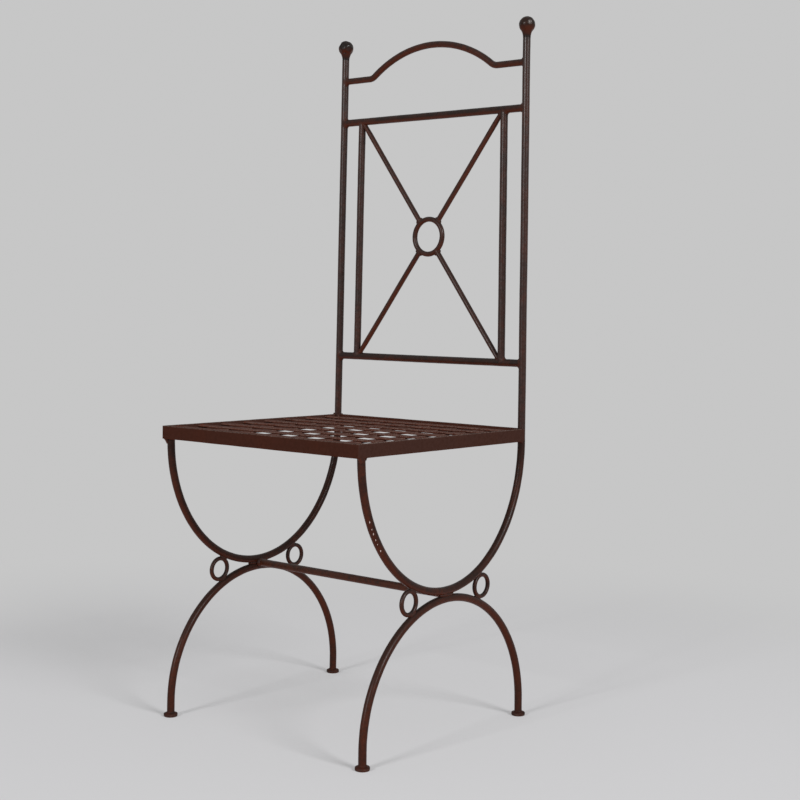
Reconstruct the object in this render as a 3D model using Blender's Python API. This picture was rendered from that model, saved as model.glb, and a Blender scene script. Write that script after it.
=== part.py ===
# Iron garden chair: a welded frame of round bar with a seat of crossed straps.
# Metres, +Z up. The sitter faces -Y, so the back stands at +Y. Left and right are those of
# someone who stands in front and looks at the chair, so left is -X.
# The origin is on the floor, under the middle of the chair's outer box.

import math

import bmesh
import bpy
from mathutils import Vector

# Seat frame: four flat bars on edge.
SEAT_WIDTH = 0.400
SEAT_DEPTH = 0.403
SEAT_HEIGHT = 0.457
SEAT_BAR_HEIGHT = 0.020
SEAT_BAR_THICKNESS = 0.005

# Seat lattice inside the frame: straps from side to side lie on straps from front to back.
STRAP_WIDTH = 0.019
STRAP_THICKNESS = 0.002
CROSS_STRAPS = 8
LONG_STRAPS = 6
LONG_STRAP_END_GAP = 0.0505
LATTICE_DROP = 0.0046

# Round bar diameters.
MAIN_BAR = 0.012
ARCH_BAR = 0.0105
BRACE_BAR = 0.0085
LEG_RING_BAR = 0.006

# Each side frame, legs and post together, leans in towards the top.
SIDE_LEAN = math.radians(0.6)

# Leg frames: an upper arc hanging from the seat meets a lower arc standing on the floor.
FRONT_LEG_SETBACK = 0.013
UPPER_ARC_LOWEST = 0.2268
LOWER_ARC_SPREAD = 0.378
LOWER_ARC_SETBACK = 0.0075
LOWER_ARC_SPRING_HEIGHT = 0.025
LEG_RING_DIAMETER = 0.0325
FOOT_DIAMETER = 0.022
FOOT_THICKNESS = 0.004
FOOT_ROUNDING = 0.0012

# Back: rails between the posts, uprights between the rails, and braces to a ring.
POST_TOP_HEIGHT = 1.0645
LOWER_RAIL_ABOVE_SEAT = 0.1025
UPPER_RAIL_BELOW_TOP = 0.107
UPRIGHT_INSET = 0.041
BACK_RING_OFF_MIDDLE = 0.0025
BACK_RING_DIAMETER = 0.057

# Arch between the posts: short level ends, a small bend, then one broad curve.
ARCH_END_BELOW_TOP = 0.0365
ARCH_RISE = 0.0445
ARCH_RADIUS = 0.200
ARCH_BEND_RADIUS = 0.020

# Forged finials on the posts.
FINIAL_BALL_DIAMETER = 0.0255
FINIAL_NECK_LENGTH = 0.020
FINIAL_NECK_ANGLE = math.radians(42)
FINIAL_NECK_FLARE = 2.4
FINIAL_TOP_ANGLE = math.radians(84)

# Gap left at each welded seam.
SEAM = 0.0003

# Faceting of the round shapes.
BAR_SIDES = 12
ARC_STEPS = 32
ARCH_STEPS = 26
BEND_STEPS = 5
BACK_RING_STEPS = 36
LEG_RING_STEPS = 24
FINIAL_STEPS = 8
TURNED_SIDES = 24
SMOOTHING_ANGLE = math.radians(40)

# Search for the place of the small rings, which touch both arcs.
NEST_START = 5
NEST_ROUNDS = 60

# Levels and distances that follow from the sizes above.
SEAT_UNDERSIDE = SEAT_HEIGHT - SEAT_BAR_HEIGHT
LATTICE_HEIGHT = SEAT_HEIGHT - LATTICE_DROP
LOWER_RAIL_HEIGHT = SEAT_HEIGHT + LOWER_RAIL_ABOVE_SEAT
UPPER_RAIL_HEIGHT = POST_TOP_HEIGHT - UPPER_RAIL_BELOW_TOP
BACK_RING_HEIGHT = (LOWER_RAIL_HEIGHT + UPPER_RAIL_HEIGHT) / 2 + BACK_RING_OFF_MIDDLE
ARCH_END_HEIGHT = POST_TOP_HEIGHT - ARCH_END_BELOW_TOP
ARCH_PEAK_HEIGHT = ARCH_END_HEIGHT + ARCH_RISE
LEG_X = SEAT_WIDTH / 2 - MAIN_BAR / 2
POST_Y = SEAT_DEPTH / 2 - MAIN_BAR / 2
FRONT_LEG_Y = FRONT_LEG_SETBACK - SEAT_DEPTH / 2
LOWER_ARC_HIGHEST = UPPER_ARC_LOWEST - MAIN_BAR - SEAM
REAR_FOOT_Y = LOWER_ARC_SETBACK + LOWER_ARC_SPREAD / 2
REAR_REACH = max(SEAT_DEPTH / 2, REAR_FOOT_Y + FOOT_DIAMETER / 2, POST_Y + FINIAL_BALL_DIAMETER / 2)
FRONT_REACH = max(SEAT_DEPTH / 2, LOWER_ARC_SPREAD / 2 + FOOT_DIAMETER / 2 - LOWER_ARC_SETBACK)

SIDES = (("left", -1), ("right", 1))
X_AXIS = Vector((1, 0, 0))
Y_AXIS = Vector((0, 1, 0))
Z_AXIS = Vector((0, 0, 1))


def iron(name, colour, roughness):
    """Rusted, waxed iron for one kind of piece."""
    material = bpy.data.materials.new(name)
    material.use_nodes = True
    shader = material.node_tree.nodes["Principled BSDF"]
    shader.inputs["Base Color"].default_value = (*colour, 1)
    shader.inputs["Roughness"].default_value = roughness
    shader.inputs["Metallic"].default_value = 0.35
    material.diffuse_color = (*colour, 1)
    return material


def skin(name, rings, closed=False):
    """A mesh through rings of points: capped at both ends, or joined end to start."""
    shape = bmesh.new()
    rows = [[shape.verts.new(point) for point in ring] for ring in rings]
    for row, following in zip(rows, rows[1:] + rows[:1] if closed else rows[1:]):
        for i in range(len(row)):
            j = (i + 1) % len(row)
            shape.faces.new((row[i], row[j], following[j], following[i]))
    if not closed:
        shape.faces.new(reversed(rows[0]))
        shape.faces.new(rows[-1])
    bmesh.ops.recalc_face_normals(shape, faces=shape.faces)
    mesh = bpy.data.meshes.new(name)
    shape.to_mesh(mesh)
    shape.free()
    return mesh


def round_bar(name, path, side, diameter, closed=False, turn=0):
    """A round bar along a path of (point, direction). All of it lies square to the vector side.
    Its facets can be turned by a share of one facet, so that they don't line up with another bar's."""
    rings = []
    for point, direction in path:
        across = side.cross(direction).normalized()
        turns = [2 * math.pi * (i + turn) / BAR_SIDES for i in range(BAR_SIDES)]
        rings.append([point + (across * math.cos(t) + side * math.sin(t)) * diameter / 2 for t in turns])
    return smooth(skin(name, rings, closed))


def turned(name, profile):
    """A solid turned about Z from (radius, height) points that run upwards."""
    turns = [2 * math.pi * i / TURNED_SIDES for i in range(TURNED_SIDES)]
    rings = [[(r * math.cos(t), r * math.sin(t), z) for t in turns] for r, z in profile]
    return smooth(skin(name, rings))


def side_x(height):
    """How far the axes of a side frame's bars are from the middle of the chair at a height."""
    return LEG_X - (height - SEAT_UNDERSIDE) * math.tan(SIDE_LEAN)


def smooth(mesh):
    mesh.shade_smooth()
    mesh.set_sharp_from_angle(angle=SMOOTHING_ANGLE)
    return mesh


def straight(start, end):
    start, end = Vector(start), Vector(end)
    direction = (end - start).normalized()
    return [(start, direction), (end, direction)]


def hoop(diameter, steps, right, up):
    """A full circle about the origin in the plane of right and up."""
    turns = [2 * math.pi * i / steps for i in range(steps)]
    return [
        ((right * math.cos(t) + up * math.sin(t)) * diameter / 2, up * math.cos(t) - right * math.sin(t))
        for t in turns
    ]


def holder(name, parent=None, location=(0, 0, 0)):
    empty = bpy.data.objects.new(name, None)
    empty.parent = parent
    empty.location = location
    bpy.context.scene.collection.objects.link(empty)
    return empty


def piece(name, mesh, material, parent, location=(0, 0, 0)):
    part = bpy.data.objects.new(name, mesh)
    if not mesh.materials:
        mesh.materials.append(material)
    part.parent = parent
    part.location = location
    bpy.context.scene.collection.objects.link(part)
    return part


def cutter(name, mesh, parent, location=(0, 0, 0)):
    tool = piece(name, mesh, materials["main"], parent, location)
    tool.hide_render = True
    tool.display_type = "WIRE"
    return tool


def cope(part, *tools):
    """Shapes a bar's end to the bars that it is welded against."""
    for tool in tools:
        cut = part.modifiers.new("cope_" + tool.name, "BOOLEAN")
        cut.operation = "DIFFERENCE"
        cut.solver = "EXACT"
        cut.object = tool


def build_seat_frame(chair, post_cutters):
    """Front bar mitred to the side bars. The side bars and the back bar end against the posts."""
    seat = holder("seat", chair, (0, 0, SEAT_UNDERSIDE))
    width, depth = SEAT_WIDTH / 2, SEAT_DEPTH / 2
    inner_width, inner_depth = width - SEAT_BAR_THICKNESS, depth - SEAT_BAR_THICKNESS
    mitre_gap = SEAM * math.sqrt(2)

    def flat_bar(name, outline):
        rings = [[(x, y, z) for x, y in outline] for z in (0, SEAT_BAR_HEIGHT)]
        return piece(name, skin(name, rings), materials["seat_frame"], seat)

    flat_bar(
        "seat_bar_front",
        [(-width, -depth), (width, -depth), (inner_width, -inner_depth), (-inner_width, -inner_depth)],
    )
    for side, sign in SIDES:
        bar = flat_bar(
            f"seat_bar_{side}",
            [
                (sign * width, mitre_gap - depth),
                (sign * width, POST_Y),
                (sign * inner_width, POST_Y),
                (sign * inner_width, mitre_gap - inner_depth),
            ],
        )
        cope(bar, post_cutters[side])
    bar = flat_bar(
        "seat_bar_back", [(-LEG_X, inner_depth), (LEG_X, inner_depth), (LEG_X, depth), (-LEG_X, depth)]
    )
    cope(bar, post_cutters["left"], post_cutters["right"])


def build_lattice(chair):
    """Eight straps from side to side, laid on six from front to back and welded where they cross."""
    lattice = holder("lattice", chair, (0, 0, LATTICE_HEIGHT))
    clear_width = SEAT_WIDTH - 2 * SEAT_BAR_THICKNESS
    clear_depth = SEAT_DEPTH - 2 * SEAT_BAR_THICKNESS

    def strap(name, reach_x, reach_y, bottom, place):
        outline = [(-reach_x, -reach_y), (reach_x, -reach_y), (reach_x, reach_y), (-reach_x, reach_y)]
        rings = [[(x, y, z) for x, y in outline] for z in (bottom, bottom + STRAP_THICKNESS)]
        piece(name, skin(name, rings), materials["strap"], lattice, place)

    def evenly(pitch, count):
        return [pitch * (i - (count - 1) / 2) for i in range(count)]

    for i, y in enumerate(evenly(clear_depth / CROSS_STRAPS, CROSS_STRAPS)):
        name = f"seat_strap_cross_{i + 1}"
        strap(name, clear_width / 2 - SEAM, STRAP_WIDTH / 2, SEAM / 2, (0, y, 0))
    long_pitch = (clear_width - 2 * LONG_STRAP_END_GAP - STRAP_WIDTH) / (LONG_STRAPS - 1)
    for i, x in enumerate(evenly(long_pitch, LONG_STRAPS)):
        name = f"seat_strap_long_{i + 1}"
        strap(name, STRAP_WIDTH / 2, clear_depth / 2 - SEAM, -SEAM / 2 - STRAP_THICKNESS, (x, 0, 0))


def half_ellipse(centre_y, centre_z, reach_y, reach_z):
    """Half an ellipse across Y from one side to the other, hanging down where reach_z is negative."""
    path = []
    for i in range(ARC_STEPS + 1):
        t = math.pi * i / ARC_STEPS
        point = Vector((0, centre_y - reach_y * math.cos(t), centre_z + reach_z * math.sin(t)))
        path.append((point, Vector((0, reach_y * math.sin(t), reach_z * math.cos(t))).normalized()))
    return path


def upper_arc():
    """From the seat's underside at the front, down and round, to the foot of the post behind."""
    top = SEAT_UNDERSIDE - SEAM
    reach = (POST_Y - FRONT_LEG_Y) / 2
    return half_ellipse(FRONT_LEG_Y + reach, top, reach, UPPER_ARC_LOWEST - top)


def lower_arc():
    """From the front foot up and over to the back foot, with short upright ends."""
    rise = LOWER_ARC_HIGHEST - LOWER_ARC_SPRING_HEIGHT
    path = half_ellipse(LOWER_ARC_SETBACK, LOWER_ARC_SPRING_HEIGHT, LOWER_ARC_SPREAD / 2, rise)
    bottom = FOOT_THICKNESS + SEAM
    front = (Vector((0, path[0][0].y, bottom)), Z_AXIS)
    back = (Vector((0, path[-1][0].y, bottom)), -Z_AXIS)
    return [front, *path, back]


def nearest(path, point):
    """The nearest point of a path of straight runs."""
    best = None
    for (a, _), (b, _) in zip(path, path[1:]):
        run = b - a
        share = min(1, max(0, (point - a).dot(run) / run.length_squared))
        found = a + run * share
        if best is None or (found - point).length < (best - point).length:
            best = found
    return best


def nested(upper, lower, start, distance):
    """The centre of a circle that touches both arcs, found by stepping away from each in turn."""
    centre = Vector(start)
    for _ in range(NEST_ROUNDS):
        for path in (upper, lower):
            away = centre - nearest(path, centre)
            centre += away.normalized() * (distance - away.length)
    return centre


def build_leg_frames(chair):
    """Both side frames: two arcs that touch, and a small ring in the wedge before and behind."""
    upper, lower = upper_arc(), lower_arc()
    upper_mesh = round_bar("upper_arc", upper, X_AXIS, MAIN_BAR)
    lower_mesh = round_bar("lower_arc", lower, X_AXIS, MAIN_BAR)
    ring_mesh = round_bar(
        "leg_ring", hoop(LEG_RING_DIAMETER, LEG_RING_STEPS, Y_AXIS, Z_AXIS), X_AXIS, LEG_RING_BAR, True
    )
    foot_radius, edge = FOOT_DIAMETER / 2, FOOT_ROUNDING
    foot_mesh = turned(
        "foot",
        [
            (foot_radius - edge / 2, 0),
            (foot_radius, edge / 2),
            (foot_radius, FOOT_THICKNESS - edge),
            (foot_radius - edge, FOOT_THICKNESS),
        ],
    )
    ring_distance = (LEG_RING_DIAMETER + LEG_RING_BAR + MAIN_BAR) / 2 + SEAM
    meeting_height = (UPPER_ARC_LOWEST + LOWER_ARC_HIGHEST) / 2
    for side, sign in SIDES:
        frame = holder(f"leg_frame_{side}", chair, (sign * side_x(0), 0, 0))
        frame.rotation_euler.y = -sign * SIDE_LEAN
        piece(f"leg_arc_upper_{side}", upper_mesh, materials["main"], frame)
        piece(f"leg_arc_lower_{side}", lower_mesh, materials["main"], frame)
        for end, direction in (("front", -1), ("back", 1)):
            start = (0, direction * NEST_START * ring_distance, meeting_height)
            centre = nested(upper, lower, start, ring_distance)
            piece(f"leg_ring_{end}_{side}", ring_mesh, materials["leg_ring"], frame, centre)
            foot = (sign * side_x(0), LOWER_ARC_SETBACK + direction * LOWER_ARC_SPREAD / 2, 0)
            piece(f"foot_{end}_{side}", foot_mesh, materials["foot"], chair, foot)

    half_length = side_x(meeting_height) - MAIN_BAR / 2 - SEAM
    path = straight((-half_length, 0, 0), (half_length, 0, 0))
    mesh = round_bar("leg_stretcher", path, Y_AXIS, MAIN_BAR)
    meeting_y = ((FRONT_LEG_Y + POST_Y) / 2 + LOWER_ARC_SETBACK) / 2
    piece("leg_stretcher", mesh, materials["main"], chair, (0, meeting_y, meeting_height))


def back_bar(x_at, sign, low, high, diameter, name):
    path = straight((sign * x_at(low), 0, low), (sign * x_at(high), 0, high))
    return round_bar(name, path, Y_AXIS, diameter)


def arch_path():
    """Half the arch is laid out from the peak to a level end, then mirrored."""
    middle_z = ARCH_PEAK_HEIGHT - ARCH_RADIUS
    bend_z = ARCH_END_HEIGHT + ARCH_BEND_RADIUS
    span = ARCH_RADIUS + ARCH_BEND_RADIUS
    bend_x = math.sqrt(span**2 - (bend_z - middle_z) ** 2)
    sweep = math.asin(bend_x / span)
    half = []
    for i in range(ARCH_STEPS // 2 + 1):
        t = sweep * 2 * i / ARCH_STEPS
        point = Vector((ARCH_RADIUS * math.sin(t), 0, middle_z + ARCH_RADIUS * math.cos(t)))
        half.append((point, Vector((math.cos(t), 0, -math.sin(t)))))
    for i in range(1, BEND_STEPS + 1):
        t = sweep * (1 - i / BEND_STEPS)
        point = Vector((bend_x - ARCH_BEND_RADIUS * math.sin(t), 0, bend_z - ARCH_BEND_RADIUS * math.cos(t)))
        half.append((point, Vector((math.cos(t), 0, -math.sin(t)))))
    half.append((Vector((side_x(ARCH_END_HEIGHT), 0, ARCH_END_HEIGHT)), X_AXIS))
    mirrored = [
        (Vector((-point.x, 0, point.z)), Vector((direction.x, 0, -direction.z)))
        for point, direction in reversed(half[1:])
    ]
    return mirrored + half


def build_finials(back):
    """Balls forged on the ends of the posts, each with a short neck that flares into it."""
    ball, neck = FINIAL_BALL_DIAMETER / 2, FINIAL_NECK_LENGTH
    join_radius, join_height = ball * math.cos(FINIAL_NECK_ANGLE), -ball * math.sin(FINIAL_NECK_ANGLE)
    profile = []
    for i in range(FINIAL_STEPS):
        share = i / FINIAL_STEPS
        radius = MAIN_BAR / 2 + (join_radius - MAIN_BAR / 2) * share**FINIAL_NECK_FLARE
        profile.append((radius, -neck + (neck + join_height) * share))
    for i in range(FINIAL_STEPS + 1):
        angle = -FINIAL_NECK_ANGLE + (FINIAL_TOP_ANGLE + FINIAL_NECK_ANGLE) * i / FINIAL_STEPS
        profile.append((ball * math.cos(angle), ball * math.sin(angle)))
    mesh = turned("finial", profile)
    for side, sign in SIDES:
        place = (sign * side_x(POST_TOP_HEIGHT), 0, POST_TOP_HEIGHT + SEAM + neck)
        piece(f"finial_{side}", mesh, materials["finial"], back, place)


def build_back(back, post_cutters):
    """Rails and arch end against the posts, uprights against the rails, braces in the corners."""
    def upright_x(height):
        return side_x(height) - UPRIGHT_INSET

    rail_cutters = {}
    for name, height in (("lower", LOWER_RAIL_HEIGHT), ("upper", UPPER_RAIL_HEIGHT)):
        reach = side_x(height)
        path = straight((-reach, 0, height), (reach, 0, height))
        rail = piece(f"back_rail_{name}", round_bar("rail", path, Y_AXIS, MAIN_BAR), materials["main"], back)
        cope(rail, *post_cutters.values())
        fat_rail = round_bar("rail_cutter", path, Y_AXIS, MAIN_BAR + 2 * SEAM)
        rail_cutters[name] = cutter(f"rail_cutter_{name}", fat_rail, back)
    arch = piece("back_arch", round_bar("arch", arch_path(), Y_AXIS, ARCH_BAR), materials["arch"], back)
    cope(arch, *post_cutters.values())

    ring_place = (0, 0, BACK_RING_HEIGHT)
    circle = hoop(BACK_RING_DIAMETER, BACK_RING_STEPS, X_AXIS, Z_AXIS)
    ring_mesh = round_bar("back_ring", circle, Y_AXIS, BRACE_BAR, True)
    piece("back_ring", ring_mesh, materials["brace"], back, ring_place)
    fat_ring = round_bar("ring_cutter", circle, Y_AXIS, BRACE_BAR + 2 * SEAM, True)
    ring_cutter = cutter("ring_cutter", fat_ring, back, ring_place)

    for side, sign in SIDES:
        path = (upright_x, sign, LOWER_RAIL_HEIGHT, UPPER_RAIL_HEIGHT)
        mesh = back_bar(*path, MAIN_BAR, "upright")
        upright = piece(f"back_upright_{side}", mesh, materials["main"], back)
        cope(upright, *rail_cutters.values())
        fat_upright = back_bar(*path, MAIN_BAR + 2 * SEAM, "upright_cutter")
        upright_cutter = cutter(f"upright_cutter_{side}", fat_upright, back)
        for name, height, direction in (("lower", LOWER_RAIL_HEIGHT, 1), ("upper", UPPER_RAIL_HEIGHT, -1)):
            corner_height = height + direction * MAIN_BAR / 2
            corner = Vector((sign * (upright_x(corner_height) - MAIN_BAR / 2), 0, corner_height))
            centre = Vector(ring_place)
            direction_out = (corner - centre).normalized()
            start = centre + direction_out * BACK_RING_DIAMETER / 2
            end = corner + direction_out * MAIN_BAR / 2
            mesh = round_bar("brace", straight(start, end), Y_AXIS, BRACE_BAR, turn=0.5)
            brace = piece(f"back_brace_{name}_{side}", mesh, materials["brace"], back)
            cope(brace, ring_cutter, upright_cutter, rail_cutters[name])


for old in list(bpy.data.objects):
    bpy.data.objects.remove(old)

materials = {
    "main": iron("bar_iron", (0.060, 0.026, 0.018), 0.55),
    "seat_frame": iron("seat_frame_iron", (0.062, 0.026, 0.018), 0.55),
    "strap": iron("strap_iron", (0.085, 0.045, 0.035), 0.6),
    "arch": iron("arch_iron", (0.058, 0.024, 0.017), 0.55),
    "brace": iron("brace_iron", (0.060, 0.025, 0.018), 0.55),
    "leg_ring": iron("leg_ring_iron", (0.058, 0.026, 0.018), 0.55),
    "foot": iron("foot_iron", (0.050, 0.022, 0.016), 0.6),
    "finial": iron("finial_iron", (0.055, 0.030, 0.022), 0.45),
}

chair_origin = holder("chair", None, (0, (FRONT_REACH - REAR_REACH) / 2, 0))
back_origin = holder("back", chair_origin, (0, POST_Y, 0))

post_bars = {}
for post_side, post_sign in SIDES:
    post_run = (side_x, post_sign, SEAT_UNDERSIDE, POST_TOP_HEIGHT)
    post_mesh = back_bar(*post_run, MAIN_BAR, "post")
    piece(f"back_post_{post_side}", post_mesh, materials["main"], back_origin)
    fat_run = (side_x, post_sign, SEAT_UNDERSIDE - MAIN_BAR, POST_TOP_HEIGHT)
    fat_post = back_bar(*fat_run, MAIN_BAR + 2 * SEAM, "post_cutter")
    post_bars[post_side] = cutter(f"post_cutter_{post_side}", fat_post, back_origin)

build_seat_frame(chair_origin, post_bars)
build_lattice(chair_origin)
build_leg_frames(chair_origin)
build_back(back_origin, post_bars)
build_finials(back_origin)
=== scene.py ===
# Iron garden chair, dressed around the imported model. Metres, +Z up, the sitter faces -Y.
# Left and right are those of someone who stands in front and looks at the chair, so left is -X.

import math

import bmesh
import bpy
from mathutils import Matrix, Vector, noise


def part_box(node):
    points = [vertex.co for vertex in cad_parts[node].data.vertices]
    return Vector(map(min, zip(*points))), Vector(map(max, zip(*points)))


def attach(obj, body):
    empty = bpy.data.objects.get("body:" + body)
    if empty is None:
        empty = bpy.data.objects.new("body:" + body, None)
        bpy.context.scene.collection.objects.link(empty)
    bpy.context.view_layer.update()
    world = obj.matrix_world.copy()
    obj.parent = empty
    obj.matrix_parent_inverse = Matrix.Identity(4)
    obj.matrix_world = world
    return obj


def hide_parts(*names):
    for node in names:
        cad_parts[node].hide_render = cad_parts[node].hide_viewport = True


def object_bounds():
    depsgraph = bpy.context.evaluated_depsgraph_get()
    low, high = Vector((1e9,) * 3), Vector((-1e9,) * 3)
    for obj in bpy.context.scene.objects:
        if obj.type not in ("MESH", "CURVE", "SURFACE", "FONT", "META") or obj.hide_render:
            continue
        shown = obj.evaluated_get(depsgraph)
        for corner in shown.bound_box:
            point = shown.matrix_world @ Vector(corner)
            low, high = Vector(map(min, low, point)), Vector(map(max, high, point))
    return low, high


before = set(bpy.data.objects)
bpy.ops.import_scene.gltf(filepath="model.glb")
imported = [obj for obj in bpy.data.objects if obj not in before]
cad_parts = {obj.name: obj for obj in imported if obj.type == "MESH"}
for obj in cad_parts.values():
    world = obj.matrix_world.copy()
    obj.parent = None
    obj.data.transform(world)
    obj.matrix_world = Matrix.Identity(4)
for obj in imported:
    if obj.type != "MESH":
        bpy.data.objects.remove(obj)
cad_low, cad_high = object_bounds()

# Seat frame.
# The real frame is 20 x 5 mm flat bar on edge, mitred and welded at the front corners and ground
# flush there. It is mild steel, rusted to a dark red-brown and waxed, with soft rolled edges.
seat_low, seat_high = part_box("seat_bar_front")
SEAT_TOP = seat_high.z
SEAT_BOTTOM = seat_low.z
SEAT_HALF_WIDTH = seat_high.x
SEAT_FRONT_Y = seat_low.y
SEAT_BACK_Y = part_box("seat_bar_back")[1].y
FLAT_BAR_THICKNESS = 0.005
FLAT_BAR_EDGE = 0.0009
FLAT_BAR_STEPS = 60
WAVE_LENGTH = 0.03
END_STEP = 0.0005
MITRE_RUN = 0.008
GROUND_RADIUS = 0.0012
# How pale the frame's top edge is: partly wear, partly a painted highlight.
TOP_WEAR_AND_HIGHLIGHT = 0.55
SHARP_ANGLE = math.radians(40)
GRAIN_HEIGHT = 0.00035
# What faces down is blended to this red: raw rust with a painted red bounce light. What faces up is blended
# to the next, darker colour.
RUST_AND_RED_BOUNCE = (0.105, 0.0196, 0.0063)
UPWARD_DARK = (0.0120, 0.0090, 0.0078)
FRAME_BODY = (0.0430, 0.0140, 0.0088)
FRAME_RED = (0.0540, 0.0148, 0.0080)
# The side bars' colours: the frame's own iron, made greyer as a painted reflection.
SIDE_SHEEN_BODY = (0.0440, 0.0188, 0.0140)
SIDE_SHEEN_RED = (0.0500, 0.0192, 0.0128)
FRAME_DARK = (0.027, 0.0088, 0.0046)

# Noise vectors take their offset from this seed, or from the clock where none is set.
noise.seed_set(7)


def wander(point, seed, size, reach):
    """A smooth, repeatable shift of a point, for metal that was bent and hammered by hand."""
    spot = Vector(point) / size + Vector((seed * 3.17, seed * 1.31, seed * 2.23))
    return noise.noise_vector(spot) * reach


def add_piece(name, mesh, material, node):
    """Hangs a finished mesh in the scene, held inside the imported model's box. It may replace a node."""
    for vertex in mesh.vertices:
        vertex.co = [max(low, min(high, at)) for low, high, at in zip(cad_low, cad_high, vertex.co)]
    piece = bpy.data.objects.new(name, mesh)
    bpy.context.scene.collection.objects.link(piece)
    mesh.materials.append(material)
    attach(piece, "root")
    if node:
        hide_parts(node)


def skin(name, rings, closed_along=False):
    """A smooth-shaded mesh through rings of points, closed at its two ends or joined up along its run."""
    shape = bmesh.new()
    rows = [[shape.verts.new(point) for point in ring] for ring in rings]
    pairs = list(zip(rows, rows[1:]))
    if closed_along:
        pairs.append((rows[-1], rows[0]))
    for row, following in pairs:
        for i in range(len(row)):
            j = (i + 1) % len(row)
            shape.faces.new((row[i], row[j], following[j], following[i]))
    if not closed_along:
        shape.faces.new(list(reversed(rows[0])))
        shape.faces.new(rows[-1])
    bmesh.ops.recalc_face_normals(shape, faces=shape.faces)
    mesh = bpy.data.meshes.new(name)
    shape.to_mesh(mesh)
    shape.free()
    mesh.shade_smooth()
    mesh.set_sharp_from_angle(angle=SHARP_ANGLE)
    return mesh


def rusted_iron(
    name, body, red, dark, roughness=0.35, mottle=1.0, specks=0.5, wear_and_highlight_colour=(0.17, 0.118, 0.098), sheen=0.16,
    sky=0.8, grain=0.42,
):
    """Dark rust patina under wax: red and near-black mottles, a grainy skin and pale chips. What faces
    down is blended redder: raw rust with a painted red bounce light. Sky says how much what faces up
    is darkened, and grain how deep the skin's bumps look. The wear_and_highlight attribute blends in
    the pale colour, for real wear and for painted highlights."""
    material = bpy.data.materials.new(name)
    material.use_nodes = True
    nodes, links = material.node_tree.nodes, material.node_tree.links
    shader = nodes["Principled BSDF"]
    place = nodes.new("ShaderNodeTexCoord").outputs["Object"]

    def clouds(scale, detail, rough=0.55, distortion=0.0):
        node = nodes.new("ShaderNodeTexNoise")
        node.inputs["Scale"].default_value = scale
        node.inputs["Detail"].default_value = detail
        node.inputs["Roughness"].default_value = rough
        node.inputs["Distortion"].default_value = distortion
        links.new(place, node.inputs["Vector"])
        return node.outputs["Fac"]

    def stretch(value, low, high, to_low=0.0, to_high=1.0):
        node = nodes.new("ShaderNodeMapRange")
        node.inputs["From Min"].default_value = low
        node.inputs["From Max"].default_value = high
        node.inputs["To Min"].default_value = to_low
        node.inputs["To Max"].default_value = to_high
        links.new(value, node.inputs["Value"])
        return node.outputs["Result"]

    def blend(share, first, second):
        node = nodes.new("ShaderNodeMix")
        node.data_type = "RGBA"
        links.new(share, node.inputs["Factor"])
        for socket, colour in ((node.inputs["A"], first), (node.inputs["B"], second)):
            if isinstance(colour, tuple):
                socket.default_value = (*colour, 1)
            else:
                links.new(colour, socket)
        return node.outputs["Result"]

    def combine(first, second, operation="MULTIPLY"):
        node = nodes.new("ShaderNodeMath")
        node.operation = operation
        for socket, value in zip(node.inputs, (first, second)):
            if isinstance(value, (int, float)):
                socket.default_value = value
            else:
                links.new(value, socket)
        return node.outputs["Value"]

    # Broad mottles of redder and darker patina, then a finer breaking up of both.
    broad = stretch(clouds(24, 3, distortion=0.4), 0.42, 0.64, 0.0, 0.85 * mottle)
    fine = stretch(clouds(190, 5, rough=0.62), 0.44, 0.66, 0.0, 0.8 * mottle)
    colour = blend(broad, body, red)
    colour = blend(fine, colour, dark)

    # What faces up is darkened. What faces down is blended to a red of raw rust and painted red bounce light.
    normal = nodes.new("ShaderNodeSeparateXYZ")
    links.new(nodes.new("ShaderNodeNewGeometry").outputs["Normal"], normal.inputs["Vector"])
    below = stretch(normal.outputs["Z"], -0.05, -0.95, 0.0, 0.85)
    colour = blend(below, colour, RUST_AND_RED_BOUNCE)
    above = stretch(normal.outputs["Z"], 0.10, 0.90, 0.0, sky)
    colour = blend(above, colour, UPWARD_DARK)

    # Pale pinpoints where the patina is chipped, and the pale colour again where the wear_and_highlight
    # attribute says: real wear, and painted highlights on top edges and the right finial.
    pits = clouds(620, 2, rough=0.5)
    chips = stretch(pits, 0.735, 0.775, 0.0, specks)
    colour = blend(chips, colour, wear_and_highlight_colour)
    wear_and_highlight = nodes.new("ShaderNodeAttribute")
    wear_and_highlight.attribute_name = "wear_and_highlight"
    ragged = combine(wear_and_highlight.outputs["Fac"], stretch(clouds(340, 4), 0.36, 0.62))
    colour = blend(ragged, colour, wear_and_highlight_colour)
    links.new(colour, shader.inputs["Base Color"])

    gloss = stretch(clouds(260, 4), 0.35, 0.68, roughness - 0.10, roughness + 0.10)
    links.new(gloss, shader.inputs["Roughness"])
    shader.inputs["Specular IOR Level"].default_value = sheen
    shader.inputs["Metallic"].default_value = 0.0

    skin_bumps = nodes.new("ShaderNodeBump")
    skin_bumps.inputs["Strength"].default_value = grain
    skin_bumps.inputs["Distance"].default_value = GRAIN_HEIGHT
    height = combine(clouds(520, 5, rough=0.65), combine(clouds(75, 3), 0.6), "ADD")
    links.new(height, skin_bumps.inputs["Height"])
    links.new(skin_bumps.outputs["Normal"], shader.inputs["Normal"])
    return material


def mark_wear_and_highlight(mesh, measure=lambda co: 0.0):
    """Stores, from 0 to 1, how much of the pale colour each point shows: real wear, and painted highlights
    where a caller marks them.
    """
    layer = mesh.attributes.new("wear_and_highlight", "FLOAT", "POINT")
    for vertex, value in zip(mesh.vertices, layer.data):
        value.value = max(0.0, min(1.0, measure(vertex.co)))


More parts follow.
